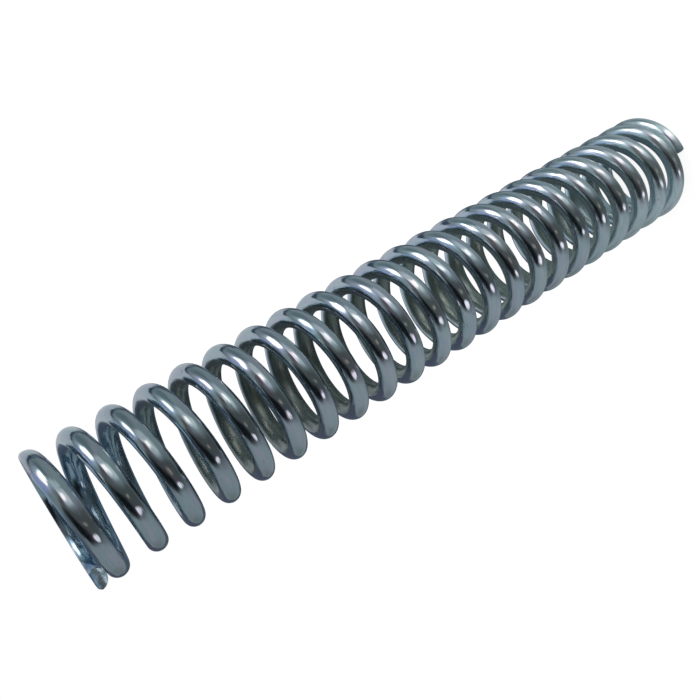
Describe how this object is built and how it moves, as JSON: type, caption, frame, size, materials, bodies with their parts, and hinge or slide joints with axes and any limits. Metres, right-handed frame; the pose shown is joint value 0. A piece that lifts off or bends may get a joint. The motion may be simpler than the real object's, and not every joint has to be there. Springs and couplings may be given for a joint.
{
  "type": "compression spring",
  "caption": "Long right-hand helical compression spring with closed and ground ends, wound in zinc-plated round steel wire, that slides over a throttle rod.",
  "frame": {"origin": "on the coil's axis, at the lower ground end, which is the lowest plane of the part", "axes": "+Z along the coil's axis from the lower ground end to the upper one; the tip of the wire's lower end is on the -Y side, and the wire climbs counter-clockwise seen from +Z"},
  "size_m": [0.0126, 0.0126, 0.078],
  "materials": {
    "spring_wire": "bright zinc plate with a faint blue passivate over drawn spring wire"
  },
  "bodies": {
    "root": {"coil_spring": "spring_wire"}
  },
  "joints": []
}
